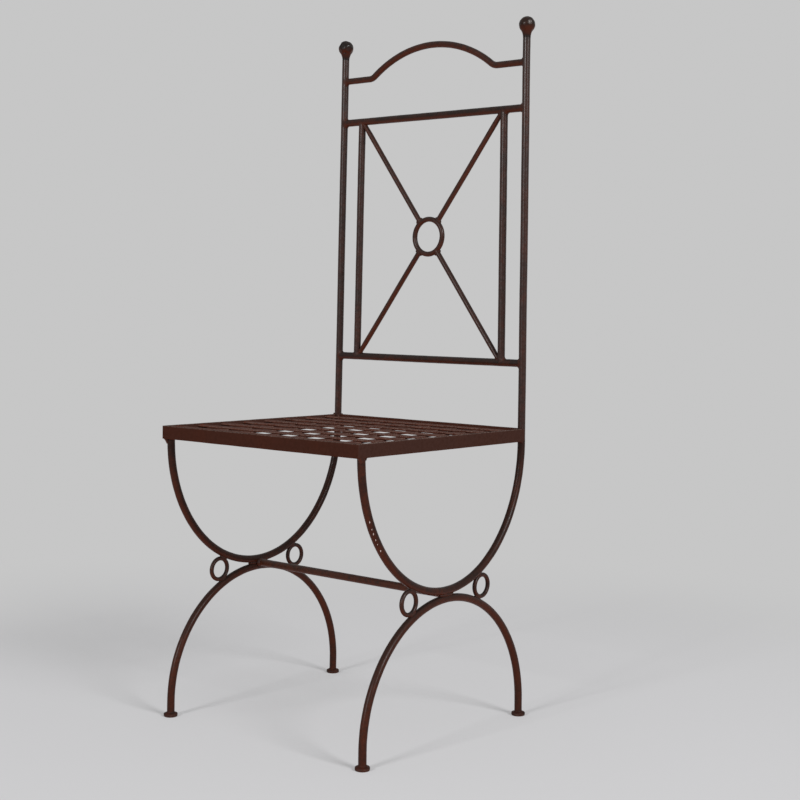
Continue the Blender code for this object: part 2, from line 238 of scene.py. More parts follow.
def flat_bar(
    name, start, end, up, width, thickness, edge, seed, steps, mitre=(0, 0), waviness=0.00015, ease=None
):
    """Rolled flat bar between two points, rounded at its four edges. A mitre slants an end by 45 degrees,
    and ease moves each finished point."""
    start, end, up = Vector(start), Vector(end), Vector(up)
    run = end - start
    along = run.normalized()
    across = along.cross(up)
    high, wide = width / 2 - edge, thickness / 2 - edge
    quarter = [(high * 0.8, wide + edge), (high, wide + edge)]
    quarter += [
        (high + edge * math.sin(math.radians(a)), wide + edge * math.cos(math.radians(a))) for a in (30, 60)
    ]
    quarter += [(high + edge, wide), (high + edge, wide * 0.5)]
    outline = list(quarter)
    outline += [(rise, -reach) for rise, reach in reversed(quarter)]
    outline += [(-rise, -reach) for rise, reach in quarter]
    outline += [(-rise, reach) for rise, reach in reversed(quarter)]
    crowd = [k * END_STEP / run.length for k in range(2, 16, 2)]
    even = [i / steps for i in range(2, steps - 1)]
    shares = sorted([0.0, 1.0, *even, *crowd, *(1 - share for share in crowd)])
    rings = []
    for share in shares:
        ring = []
        slant = mitre[0] * max(0, 1 - share * run.length / MITRE_RUN)
        slant += mitre[1] * max(0, 1 - (1 - share) * run.length / MITRE_RUN)
        for rise, reach in outline:
            point = start + run * share + up * rise + across * reach + along * reach * slant
            point += wander(point, seed, WAVE_LENGTH, waviness)
            ring.append(ease(point) if ease else point)
        rings.append(ring)
    return skin(name, rings)


def ground_corner(point):
    """Grinds the seat frame's faces flush and rounds its front corners."""
    point.x = max(-SEAT_HALF_WIDTH, min(SEAT_HALF_WIDTH, point.x))
    point.y = max(SEAT_FRONT_Y, min(SEAT_BACK_Y, point.y))
    middle_x = math.copysign(SEAT_HALF_WIDTH - GROUND_RADIUS, point.x)
    middle = Vector((middle_x, SEAT_FRONT_Y + GROUND_RADIUS, point.z))
    out = point - middle
    if out.x * point.x > 0 and out.y < 0 and out.length > GROUND_RADIUS:
        return middle + out * GROUND_RADIUS / out.length
    return point


frame_iron = rusted_iron(
    "seat_frame_patina", FRAME_BODY, FRAME_RED, FRAME_DARK, roughness=0.78, mottle=0.5, specks=0.2,
    wear_and_highlight_colour=(0.17, 0.105, 0.085), sheen=0.04,
)
# The side bars are the same iron as the front and back. Their greyer colours are a painted reflection, and
# their paler top edge is a painted highlight.
side_sheen_iron = rusted_iron(
    "seat_side_painted_sheen", SIDE_SHEEN_BODY, SIDE_SHEEN_RED, FRAME_DARK, roughness=0.78, mottle=0.5, specks=0.2,
    wear_and_highlight_colour=(0.19, 0.125, 0.105), sheen=0.04,
)
middle_z = (SEAT_TOP + SEAT_BOTTOM) / 2
bar_centre = FLAT_BAR_THICKNESS / 2
bar_height = SEAT_TOP - SEAT_BOTTOM
corner_x = SEAT_HALF_WIDTH - bar_centre
front_y, back_y = SEAT_FRONT_Y + bar_centre, SEAT_BACK_Y - bar_centre
post_low, post_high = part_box("back_post_right")
POST_Y = (post_low.y + post_high.y) / 2
post_x = SEAT_HALF_WIDTH - (SEAT_BACK_Y - POST_Y)
seat_runs = (
    ("front", (-corner_x, front_y), (corner_x, front_y), (-1, 1)),
    ("right", (corner_x, front_y), (corner_x, POST_Y), (-1, 0)),
    ("left", (-corner_x, POST_Y), (-corner_x, front_y), (0, 1)),
    ("back", (post_x, back_y), (-post_x, back_y), (0, 0)),
)
for seed, (side, begin, finish, slant) in enumerate(seat_runs):
    mesh = flat_bar(
        f"seat_frame_{side}", (*begin, middle_z), (*finish, middle_z), (0, 0, 1), bar_height,
        FLAT_BAR_THICKNESS, FLAT_BAR_EDGE, seed, FLAT_BAR_STEPS, slant, ease=ground_corner,
    )
    # The top edge is made paler: partly wear, partly a painted highlight along it.
    mark_wear_and_highlight(mesh, lambda co: TOP_WEAR_AND_HIGHLIGHT * (co.z > SEAT_TOP - FLAT_BAR_EDGE * 0.9))
    iron = frame_iron if side in ("front", "back") else side_sheen_iron
    add_piece(f"seat_frame_{side}", mesh, iron, f"seat_bar_{side}")

# Seat straps.
# Thin hoop iron, 19 x 2 mm. Eight straps from side to side lie on six from front to back, spot
# welded where they cross and at their ends. Sitters have made their tops paler than the frame with
# wear, and a pale line along each top edge is a painted highlight.
STRAP_EDGE = 0.0007
STRAP_STEPS = 70
STRAP_WAVINESS = 0.00025
STRAP_RUBBED, STRAP_EDGE_HIGHLIGHT = 0.12, 0.5
STRAP_BODY = (0.075, 0.0240, 0.0150)
STRAP_RED = (0.090, 0.0230, 0.0120)
STRAP_DARK = (0.030, 0.0110, 0.0070)
strap_iron = rusted_iron(
    "strap_patina", STRAP_BODY, STRAP_RED, STRAP_DARK, roughness=0.72, specks=0.3, sheen=0.05, sky=0.15
)
straps = [f"cross_{i}" for i in range(1, 9)] + [f"long_{i}" for i in range(1, 7)]
for seed, which in enumerate(straps):
    low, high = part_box(f"seat_strap_{which}")
    centre, size = (low + high) / 2, high - low
    if which.startswith("cross"):
        begin, finish = Vector((low.x, centre.y, centre.z)), Vector((high.x, centre.y, centre.z))
        width = size.y
    else:
        begin, finish = Vector((centre.x, low.y, centre.z)), Vector((centre.x, high.y, centre.z))
        width = size.x
    along = (finish - begin).normalized()
    across = Vector((0, 0, 1)).cross(along)
    mesh = flat_bar(
        f"strap_{which}", begin, finish, across, width, size.z, STRAP_EDGE, 20 + seed, STRAP_STEPS,
        waviness=STRAP_WAVINESS,
    )
    edge = width / 2 - STRAP_EDGE * 1.4

    # Tops are made paler by wear, and their edges more so by a painted highlight.
    def top_wear_and_edge_highlight(co):
        at_edge = abs((co - centre).dot(across)) > edge
        return (STRAP_RUBBED + STRAP_EDGE_HIGHLIGHT * at_edge) * (co.z > centre.z)

    mark_wear_and_highlight(mesh, top_wear_and_edge_highlight)
    add_piece(f"strap_{which}", mesh, strap_iron, f"seat_strap_{which}")

# Strap welds.
# Each strap's end is tacked to the inside of the frame with one short bead, left as it was laid. The
# weld metal has rusted like the straps, and is a little rougher and blotchier.
TACK_ACROSS, TACK_ALONG, TACK_HEIGHT = 0.0022, 0.0072, 0.0013
tack_iron = rusted_iron(
    "tack_patina", STRAP_BODY, STRAP_RED, STRAP_DARK, roughness=0.6, mottle=1.1, sheen=0.1, sky=0.2
)


def ball(name, around, upwards, shift):
    """A ball of the given segments, each point of which goes where shift puts it."""
    shape = bmesh.new()
    bmesh.ops.create_uvsphere(shape, u_segments=around, v_segments=upwards, radius=1.0)
    for vertex in shape.verts:
        vertex.co = shift(vertex.co)
    mesh = bpy.data.meshes.new(name)
    shape.to_mesh(mesh)
    shape.free()
    mesh.shade_smooth()
    mark_wear_and_highlight(mesh)
    return mesh


def tack(name, centre, reach, seed, material):
    """A short bead of weld metal with the given half sizes."""

    def shift(co):
        lump = 1 + 0.18 * noise.noise(co * 1.6 + Vector((seed * 1.7, seed, 0)))
        return centre + Vector([co[i] * reach[i] * lump for i in range(3)])

    add_piece(name, ball(name, 20, 12, shift), material, None)


for seed, which in enumerate(straps):
    low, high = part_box(f"seat_strap_{which}")
    centre = (low + high) / 2
    for end, corner, later in (("a", low, 0), ("b", high, 0.5)):
        if which.startswith("cross"):
            spot, reach = Vector((corner.x, centre.y, high.z)), (TACK_ACROSS, TACK_ALONG, TACK_HEIGHT)
        else:
            spot, reach = Vector((centre.x, corner.y, low.z)), (TACK_ALONG, TACK_ACROSS, TACK_HEIGHT)
        tack(f"strap_tack_{which}_{end}", spot, reach, seed + later, tack_iron)

# Leg arcs.
# Each side frame is two half ellipses of 12 mm round bar, bent cold round a former. The upper one
# hangs from the seat frame and the lower one stands on the floor. They touch and are welded there.
BAR_RADIUS = 0.006
LEAN = math.radians(0.6)
BAR_BODY = (0.025, 0.0092, 0.0062)
BAR_RED = (0.048, 0.0130, 0.0066)
BAR_DARK = (0.0135, 0.0080, 0.0060)
LOW_BODY = (0.039, 0.0112, 0.0064)
LOW_RED = (0.053, 0.0132, 0.0062)
LOW_DARK = (0.022, 0.0095, 0.0062)
ARC_POINTS = 110
BEND_LENGTH, DENT_LENGTH = 0.12, 0.012
SPRING_HEIGHT = 0.025
INTO_FRAME = 0.004
LEG_ENDS = (0.003, 0.013)
upper_iron = rusted_iron("upper_arc_patina", BAR_BODY, BAR_RED, BAR_DARK, sheen=0.11, sky=0.45, grain=0.3)
lower_iron = rusted_iron("lower_arc_patina", LOW_BODY, LOW_RED, LOW_DARK, sheen=0.10)


def round_bar(name, path, side, radius, seed, closed=False, sides=28, uneven=0.00012, sway=0.0002):
    """Round bar along (point, direction) stations, all square to one side vector, slightly uneven."""
    rings = []
    for point, direction in path:
        across = side.cross(direction).normalized()
        point = point + wander(point, seed, BEND_LENGTH, sway)
        ring = []
        for i in range(sides):
            turn = 2 * math.pi * i / sides
            out = across * math.cos(turn) + side * math.sin(turn)
            dent = noise.noise((point + out * radius) / DENT_LENGTH + Vector((seed, 0, seed))) * uneven
            ring.append(point + out * (radius + dent - uneven * 0.5))
        rings.append(ring)
    return skin(name, rings, closed)


def half_ellipse(centre_y, centre_z, reach_y, reach_z, points):
    """Stations from the front to the back of a half ellipse in the middle plane, for round_bar."""
    path = []
    for i in range(points + 1):
        turn = math.pi * i / points
        point = Vector((0, centre_y - reach_y * math.cos(turn), centre_z + reach_z * math.sin(turn)))
        path.append((point, Vector((0, reach_y * math.sin(turn), reach_z * math.cos(turn))).normalized()))
    return path


X_AXIS, Y_AXIS, Z_AXIS = Vector((1, 0, 0)), Vector((0, 1, 0)), Vector((0, 0, 1))
SIDES = (("left", -1), ("right", 1))
arc_low, arc_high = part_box("leg_arc_upper_right")
foot_low, foot_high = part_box("foot_front_right")
back_foot_low, back_foot_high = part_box("foot_back_right")
foot_x = (foot_low.x + foot_high.x) / 2
front_foot_y = (foot_low.y + foot_high.y) / 2
back_foot_y = (back_foot_low.y + back_foot_high.y) / 2
lower_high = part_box("leg_arc_lower_right")[1].z
lower_mid_y = (front_foot_y + back_foot_y) / 2
upper_front_y, upper_back_y = arc_low.y + BAR_RADIUS, arc_high.y - BAR_RADIUS
upper_mid_y = (upper_front_y + upper_back_y) / 2
UPPER_LOWEST = arc_low.z + BAR_RADIUS
LOWER_HIGHEST = lower_high - BAR_RADIUS
upper_arc = (upper_mid_y, arc_high.z, (upper_back_y - upper_front_y) / 2, UPPER_LOWEST - arc_high.z)
lower_arc = (lower_mid_y, SPRING_HEIGHT, (back_foot_y - front_foot_y) / 2, LOWER_HIGHEST - SPRING_HEIGHT)
upper_path = half_ellipse(*upper_arc, ARC_POINTS)
upper_path = [
    (upper_path[0][0] + Z_AXIS * INTO_FRAME, -Z_AXIS),
    *upper_path,
    (upper_path[-1][0] + Z_AXIS * INTO_FRAME, Z_AXIS),
]
lower_path = [
    *((Vector((0, front_foot_y, height)), Z_AXIS) for height in LEG_ENDS),
    *half_ellipse(*lower_arc, ARC_POINTS),
    *((Vector((0, back_foot_y, height)), -Z_AXIS) for height in reversed(LEG_ENDS)),
]


def leaned(sign):
    """Where a side frame stands: at its foot, leaning in towards the top."""
    return Matrix.Translation((sign * foot_x, 0, 0)) @ Matrix.Rotation(-sign * LEAN, 4, "Y")


arcs = (("upper", upper_path, 31, upper_iron), ("lower", lower_path, 33, lower_iron))
for side, sign in SIDES:
    for arc, path, seed, arc_iron in arcs:
        mesh = round_bar(f"leg_{arc}_{side}", path, X_AXIS, BAR_RADIUS, seed + sign)
        mesh.transform(leaned(sign))
        mark_wear_and_highlight(mesh)
        add_piece(f"leg_{arc}_{side}", mesh, arc_iron, f"leg_arc_{arc}_{side}")

# Small rings.
# A ring of 7 mm rod is tacked into the wedge before and behind the place where the arcs meet. Each
# was wound round a mandrel, cut off and closed, so it isn't a perfect circle.
RING_ROD = 0.0034
RING_SPREAD = 0.0009
RING_OVAL = 0.018
RING_POINTS, RING_SIDES = 64, 20
ring_iron = rusted_iron("leg_ring_patina", (0.036, 0.0115, 0.0070), BAR_RED, BAR_DARK, roughness=0.4)


def hoop(centre, radius, right, up, points, oval, tilt):
    """Stations round a slightly oval ring in the plane of right and up, for round_bar."""
    path = []
    for i in range(points):
        turn = 2 * math.pi * i / points
        reach = radius * (1 + oval * math.cos(2 * (turn - tilt)))
        point = centre + (right * math.cos(turn) + up * math.sin(turn)) * reach
        path.append((point, up * math.cos(turn) - right * math.sin(turn)))
    return path


for seed, (end, side) in enumerate((e, s) for e in ("front", "back") for s, _ in SIDES):
    low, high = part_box(f"leg_ring_{end}_{side}")
    centre = (low + high) / 2
    radius = (high.y - low.y) / 2 - RING_ROD + RING_SPREAD
    path = hoop(centre, radius, Y_AXIS, Z_AXIS, RING_POINTS, RING_OVAL, 0.6 + seed)
    mesh = round_bar(
        f"small_ring_{end}_{side}", path, X_AXIS, RING_ROD, 50 + seed, closed=True, sides=RING_SIDES
    )
    mark_wear_and_highlight(mesh)
    add_piece(f"small_ring_{end}_{side}", mesh, ring_iron, f"leg_ring_{end}_{side}")

# Feet.
# The lower arcs end on small turned discs, 22 mm across, welded on so that the legs don't sink
# into a lawn. Their rims are battered and their undersides flat.
FOOT_BATTER = 0.0003
RIM_RUBBED = 0.15
RIM_LOW, RIM_HIGH = 0.0005, 0.0035
foot_iron = rusted_iron(
    "foot_patina", (0.030, 0.0095, 0.0060), (0.050, 0.0115, 0.0050), (0.011, 0.0060, 0.0048), roughness=0.6,
    sheen=0.08, sky=0.0,
)


def turned(name, profile, centre, sides, seed, uneven):
    """A body turned about an upright axis from (radius, height) points that run upwards."""
    rings = []
    for radius, height in profile:
        ring = []
        for i in range(sides):
            turn = 2 * math.pi * i / sides
            point = centre + Vector((math.cos(turn) * radius, math.sin(turn) * radius, height))
            ring.append(point + wander(point, seed, 0.008, uneven) * (1 if height > 0 else 0))
        rings.append(ring)
    return skin(name, rings)


for seed, (end, side) in enumerate((e, s) for e in ("front", "back") for s, _ in SIDES):
    low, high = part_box(f"foot_{end}_{side}")
    centre = Vector(((low.x + high.x) / 2, (low.y + high.y) / 2, 0))
    radius, height = (high.x - low.x) / 2 - 0.0002, high.z
    profile = [
        (radius * 0.55, 0.0), (radius * 0.91, 0.0), (radius * 0.975, height * 0.15), (radius, height * 0.45),
        (radius, height * 0.85), (radius * 0.985, height * 1.1), (radius * 0.93, height * 1.28),
        (radius * 0.84, height * 1.36), (radius * 0.72, height * 1.40), (radius * 0.62, height * 1.52),
        (radius * 0.57, height * 1.8), (radius * 0.54, height * 2.1), (radius * 0.45, height * 2.2),
    ]
    mesh = turned(f"foot_disc_{end}_{side}", profile, centre, 40, 60 + seed, FOOT_BATTER)
    mark_wear_and_highlight(mesh, lambda co: RIM_RUBBED * (RIM_LOW < co.z < RIM_HIGH))
    add_piece(f"foot_disc_{end}_{side}", mesh, foot_iron, f"foot_{end}_{side}")

# Stretcher.
# One length of 12 mm round bar joins the side frames behind the place where their arcs meet. It
# butts against them and is welded all round.
low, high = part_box("leg_stretcher")
stretcher_y, stretcher_z = (low.y + high.y) / 2, (low.z + high.z) / 2
reach = high.x + 0.004


def straight(start, end, steps):
    """Stations on the line between two points, for round_bar."""
    start, end = Vector(start), Vector(end)
    direction = (end - start).normalized()
    return [(start.lerp(end, i / steps), direction) for i in range(steps + 1)]


stretcher_iron = rusted_iron(
    "stretcher_patina", (0.044, 0.0118, 0.0052), LOW_RED, BAR_DARK, sky=0.5
)
stretcher_run = straight((-reach, stretcher_y, stretcher_z), (reach, stretcher_y, stretcher_z), 70)
mesh = round_bar("stretcher", stretcher_run, Y_AXIS, BAR_RADIUS, 70)
mark_wear_and_highlight(mesh)
add_piece("stretcher", mesh, stretcher_iron, "leg_stretcher")

# Back posts.
# Two 12 mm round bars stand on the upper arcs at the seat's back corners and carry the whole
# back. They lean in slightly towards the top, where the finials were forged on.
POST_TOP = post_high.z
POST_UNDER, POST_OVER = 0.002, 0.001
post_iron = rusted_iron(
    "post_patina", (0.023, 0.0088, 0.0060), (0.042, 0.0115, 0.0062), BAR_DARK, roughness=0.32, mottle=0.8,
    sheen=0.28, grain=0.13,
)


def side_x(height):
    """How far from the middle a side frame and its post stand at a height."""
    return foot_x - height * math.tan(LEAN)


for side, sign in SIDES:
    begin, finish = SEAT_BOTTOM - POST_UNDER, POST_TOP + POST_OVER
    run = straight((sign * side_x(begin), POST_Y, begin), (sign * side_x(finish), POST_Y, finish), 130)
    mesh = round_bar(f"post_{side}", run, Y_AXIS, BAR_RADIUS, 74 + sign, uneven=0.00006)
    mark_wear_and_highlight(mesh)
    add_piece(f"post_{side}", mesh, post_iron, f"back_post_{side}")

# Finials.
# The smith upset each post's end and hammered it to a ball, with a short neck that flares into
# it. The hammer left flats, more on the left ball than on the right one, whose side carries a
# painted highlight: a pale spot on the side that faces the lamp on the right.
BALL_RADIUS = 0.01275
NECK_DEGREES, TOP_DEGREES = 46, 87
NECK_RINGS, BALL_RINGS, FINIAL_SIDES = 12, 26, 48
NECK_FLARE = 2.2
HAMMERED_ABOVE = -0.75
FACING_LEAST = 0.5
GOLDEN_TURN = 2.399963
# A painted highlight: a pale spot on the right ball, where the lamp on the right would shine in it.
HIGHLIGHT_DIRECTION = Vector((0.83, -0.53, 0.21)).normalized()
HIGHLIGHT_SHARE, PAINTED_HIGHLIGHT = 0.955, 0.9
finial_iron = rusted_iron(
    "finial_patina", (0.0120, 0.0072, 0.0056), (0.030, 0.0100, 0.0055), (0.0080, 0.0062, 0.0052),
    roughness=0.33, specks=0.2, wear_and_highlight_colour=(0.17, 0.15, 0.14), sheen=0.12, sky=0.5, grain=0.2,
)


def hammered(direction, flats, depth):
    """How far a ball hammered with flats reaches in a direction, as a share of its radius."""
    reach = 1.0
    for i in range(flats):
        height = 1 - 2 * (i + 0.5) / flats
        level = math.sqrt(1 - height**2)
        turn = i * GOLDEN_TURN + 0.7
        facing = direction.dot(Vector((math.cos(turn) * level, math.sin(turn) * level, height)))
        if facing > FACING_LEAST:
            reach = min(reach, (1 - depth) / facing)
    return reach


for side, sign, flats, depth in (("left", -1, 18, 0.075), ("right", 1, 30, 0.025)):
    low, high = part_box(f"finial_{side}")
    centre = Vector(((low.x + high.x) / 2, (low.y + high.y) / 2, high.z - BALL_RADIUS))
    neck_bottom = low.z - 0.0003
    neck_radius = BALL_RADIUS * math.cos(math.radians(NECK_DEGREES))
    neck_top = centre.z - BALL_RADIUS * math.sin(math.radians(NECK_DEGREES))
    profile = []
    for i in range(NECK_RINGS + 1):
        share = i / NECK_RINGS
        radius = BAR_RADIUS + (neck_radius - BAR_RADIUS) * share**NECK_FLARE
        height = neck_bottom + (neck_top - neck_bottom) * share
        profile.append((radius, height - centre.z))
    for i in range(1, BALL_RINGS + 1):
        angle = math.radians(-NECK_DEGREES + (TOP_DEGREES + NECK_DEGREES) * i / BALL_RINGS)
        profile.append((BALL_RADIUS * math.cos(angle), BALL_RADIUS * math.sin(angle)))
    rings = []
    for radius, height in profile:
        ring = []
        for k in range(FINIAL_SIDES):
            turn = 2 * math.pi * k / FINIAL_SIDES
            offset = Vector((math.cos(turn) * radius, math.sin(turn) * radius, height))
            if height > BALL_RADIUS * HAMMERED_ABOVE:
                offset *= hammered(offset.normalized(), flats, depth)
            ring.append(centre + offset + wander(offset, 80 + sign, 0.006, 0.00022))
        rings.append(ring)
    mesh = skin(f"finial_ball_{side}", rings)

    def painted_highlight_spot(co):
        return PAINTED_HIGHLIGHT * (sign > 0 and (co - centre).dot(HIGHLIGHT_DIRECTION) > BALL_RADIUS * HIGHLIGHT_SHARE)

    mark_wear_and_highlight(mesh, painted_highlight_spot)
    add_piece(f"finial_ball_{side}", mesh, finial_iron, f"finial_{side}")

# Back rails and uprights.
# Two 12 mm rails cross between the posts, and two 12 mm uprights stand between the rails just
# inside them. All are butt welded.
UPRIGHT_INSET = 0.041
rail_iron = rusted_iron(
    "rail_patina", (0.019, 0.0085, 0.0058), (0.040, 0.0110, 0.0062), (0.010, 0.0070, 0.0056)
)
rail_heights = {}
for which in ("lower", "upper"):
    low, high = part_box(f"back_rail_{which}")
    height = (low.z + high.z) / 2
    rail_heights[which] = height
    run = straight((-side_x(height), POST_Y, height), (side_x(height), POST_Y, height), 70)
    mesh = round_bar(f"rail_{which}", run, Y_AXIS, BAR_RADIUS, 90 + height)
    mark_wear_and_highlight(mesh)
    add_piece(f"rail_{which}", mesh, rail_iron, f"back_rail_{which}")

for side, sign in SIDES:
    low_z, high_z = rail_heights["lower"], rail_heights["upper"]
    run = straight(
        (sign * (side_x(low_z) - UPRIGHT_INSET), POST_Y, low_z),
        (sign * (side_x(high_z) - UPRIGHT_INSET), POST_Y, high_z), 90,
    )
    mesh = round_bar(f"upright_{side}", run, Y_AXIS, BAR_RADIUS, 94 + sign)
    mark_wear_and_highlight(mesh)
    add_piece(f"upright_{side}", mesh, post_iron, f"back_upright_{side}")

# Back ring and braces.
# A ring of 8.5 mm rod hangs in the middle of the back on four rods of the same stock, which run
# to the corners of the panel and are drawn down a little where they are welded.
BRACE_RADIUS = 0.00425
BRACE_SIDES = 22
BRACE_INTO_CORNER = 0.003
DRAWN_LENGTH, DRAWN_BY = 0.022, 0.22
brace_iron = rusted_iron(
    "brace_patina", (0.036, 0.0130, 0.0085), (0.058, 0.0160, 0.0085), (0.0150, 0.0085, 0.0062)
)
low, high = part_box("back_ring")
ring_centre, ring_radius = (low + high) / 2, (high.z - low.z) / 2 - BRACE_RADIUS
path = hoop(ring_centre, ring_radius, X_AXIS, Z_AXIS, 96, 0.01, 0.9)
mesh = round_bar("middle_ring", path, Y_AXIS, BRACE_RADIUS, 101, closed=True, sides=24)
mark_wear_and_highlight(mesh)
add_piece("middle_ring", mesh, brace_iron, "back_ring")
brace_ends = {}
for which, direction in (("lower", 1), ("upper", -1)):
    for side, sign in SIDES:
        corner_z = rail_heights[which] + direction * BAR_RADIUS
        corner = Vector((sign * (side_x(corner_z) - UPRIGHT_INSET - BAR_RADIUS), POST_Y, corner_z))
        out = (corner - ring_centre).normalized()
        begin, finish = ring_centre + out * ring_radius, corner + out * BRACE_INTO_CORNER
        brace_ends[which, side] = (corner, out)
        across = Y_AXIS.cross(out).normalized()
        rings = []
        for point, _ in straight(begin, finish, 60):
            left = (finish - point).length
            slim = 1 - DRAWN_BY * max(0.0, 1 - left / DRAWN_LENGTH)
            point = point + wander(point, 104 + sign * 3 + direction, BEND_LENGTH, 0.0003)
            ring = []
            for k in range(BRACE_SIDES):
                turn = 2 * math.pi * k / BRACE_SIDES
                flat = across * math.cos(turn) * BRACE_RADIUS * slim
                ring.append(point + flat + Y_AXIS * math.sin(turn) * BRACE_RADIUS)
            rings.append(ring)
        mesh = skin(f"brace_{which}_{side}", rings)
        mark_wear_and_highlight(mesh)
        add_piece(f"brace_{which}_{side}", mesh, brace_iron, f"back_brace_{which}_{side}")

# Arch.
# One 10.5 mm bar joins the posts above the upper rail: short level ends, a tight bend, then one
# broad curve, all bent cold.
ARCH_BAR_RADIUS = 0.00525
ARCH_CURVE = 0.200
ARCH_BEND = 0.020
CURVE_STEPS, BEND_STEPS, LEVEL_STEPS = 45, 10, 8
low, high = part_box("back_arch")
arch_end_z, arch_peak_z = low.z + ARCH_BAR_RADIUS, high.z - ARCH_BAR_RADIUS
curve_z, bend_z = arch_peak_z - ARCH_CURVE, arch_end_z + ARCH_BEND
arch_span = ARCH_CURVE + ARCH_BEND
bend_x = math.sqrt(arch_span**2 - (bend_z - curve_z) ** 2)
sweep = math.asin(bend_x / arch_span)
half = []
for i in range(CURVE_STEPS + 1):
    turn = sweep * i / CURVE_STEPS
    point = Vector((ARCH_CURVE * math.sin(turn), POST_Y, curve_z + ARCH_CURVE * math.cos(turn)))
    half.append((point, Vector((math.cos(turn), 0, -math.sin(turn)))))
for i in range(1, BEND_STEPS + 1):
    turn = sweep * (1 - i / BEND_STEPS)
    point = Vector((bend_x - ARCH_BEND * math.sin(turn), POST_Y, bend_z - ARCH_BEND * math.cos(turn)))
    half.append((point, Vector((math.cos(turn), 0, -math.sin(turn)))))
level_start, level_end = half[-1][0].x, side_x(arch_end_z)
for i in range(1, LEVEL_STEPS + 1):
    level_x = level_start + (level_end - level_start) * i / LEVEL_STEPS
    half.append((Vector((level_x, POST_Y, arch_end_z)), X_AXIS))
mirrored = [
    (Vector((-point.x, point.y, point.z)), Vector((direction.x, 0, -direction.z)))
    for point, direction in reversed(half[1:])
]
arch_iron = rusted_iron("arch_patina", (0.036, 0.0100, 0.0052), LOW_RED, BAR_DARK)
mesh = round_bar("arch", mirrored + half, Y_AXIS, ARCH_BAR_RADIUS, 120)
mark_wear_and_highlight(mesh)
add_piece("arch", mesh, arch_iron, "back_arch")

# Welds.
# Every joint is arc welded from outside: a lumpy bead all round where a bar butts on another, and
# a fill in the grooves where two bars touch side by side.
COLLAR_POINTS = 40
WEB_ROOT = 0.0012
WALL_INSET, BACK_WALL_INSET = 0.0027, 0.0025
LEG_EDGE, POST_EDGE = 0.0050, 0.0053
weld_iron = rusted_iron(
    "weld_patina", (0.032, 0.0105, 0.0062), (0.052, 0.0130, 0.0065), BAR_DARK, roughness=0.5, mottle=1.1,
    sky=0.3,
)


def weld_collar(name, centre, out, radius, along, other_radius, size, seed):
    """A bead round the end of one bar where it butts on another. The bar leaves along out."""
    out, along = Vector(out).normalized(), Vector(along).normalized()
    side = along - out * along.dot(out)
    side.normalize()
    other = out.cross(side)
    flat_out = out - along * out.dot(along)

    def height(outward, reach):
        flat = outward - along * outward.dot(along)
        a, b = flat_out.length_squared, flat_out.dot(flat) * reach
        c = flat.length_squared * reach**2 - other_radius**2
        return (-b + math.sqrt(max(0.0, b * b - a * c))) / a

    rings = []
    for i in range(COLLAR_POINTS):
        turn = 2 * math.pi * i / COLLAR_POINTS
        outward = side * math.cos(turn) + other * math.sin(turn)
        lump = 1 + 0.45 * noise.noise(Vector((math.cos(turn) * 1.7 + seed, math.sin(turn) * 1.7, seed * 0.7)))
        bead = size * lump
        flat = outward - along * outward.dot(along)
        widest = 0.985 * other_radius / max(0.2, flat.length)
        low_reach = min(radius + bead, max(radius + 0.0002, widest))
        top = centre + out * (height(outward, radius) + bead) + outward * (radius - 0.0001)
        foot = centre + out * (height(outward, low_reach) - 0.0001) + outward * low_reach
        root = centre + out * height(outward, radius) + outward * radius
        knee = root.lerp((top + foot) / 2, 0.55)
        ring = []
        for k in range(6):
            s = k / 5
            ring.append(top * (1 - s) ** 2 + knee * 2 * s * (1 - s) + foot * s * s)
        ring.append(centre + out * (height(outward, radius) - 0.001) + outward * (radius - 0.0015))
        rings.append(ring)
    mesh = skin(name, rings, closed_along=True)
    mark_wear_and_highlight(mesh)
    add_piece(name, mesh, weld_iron, None)


def weld_fill(name, centre, reach, seed, turn=None, rough=0.0006):
    """A lump of weld metal with the given half sizes, bumpy on its surface."""

    def shift(co):
        out = Vector((co.x * reach[0], co.y * reach[1], co.z * reach[2]))
        out += co * noise.noise(co * 1.9 + Vector((seed, seed * 2, 0))) * rough
        return centre + (turn @ out if turn else out)

    add_piece(name, ball(name, 28, 18, shift), weld_iron, None)


def weld_web(name, corner, first, second, size_first, size_second, half_width, seed, hollow=1.0):
    """A bead in the corner between two surfaces, which leave the corner along first and second. It is
    straight across where hollow is 0 and a quarter round where it is 1."""
    first, second = Vector(first), Vector(second)
    across = first.cross(second).normalized()
    rings = []
    for i in range(9):
        share = i / 4 - 1
        swell = math.sqrt(max(0.0, 1 - abs(share) ** 3)) * 0.75 + 0.25
        place = Vector(corner) + across * share * half_width
        lump = swell * (1 + 0.3 * noise.noise(place / 0.004 + Vector((seed, 0, 0))))
        ring = []
        for k in range(8):
            turn, part = math.pi / 2 * k / 7, k / 7
            out = (1 - part) * (1 - hollow) + (1 - math.sin(turn)) * hollow
            rise = part * (1 - hollow) + (1 - math.cos(turn)) * hollow
            ring.append(place + first * size_first * lump * out + second * size_second * lump * rise)
        ring.append(place + second * size_second * lump * 0.9 - first * WEB_ROOT)
        ring.append(place - (first + second) * WEB_ROOT)
        ring.append(place + first * size_first * lump * 0.9 - second * WEB_ROOT)
        rings.append(ring)
    mesh = skin(name, rings)
    mark_wear_and_highlight(mesh)
    add_piece(name, mesh, weld_iron, None)


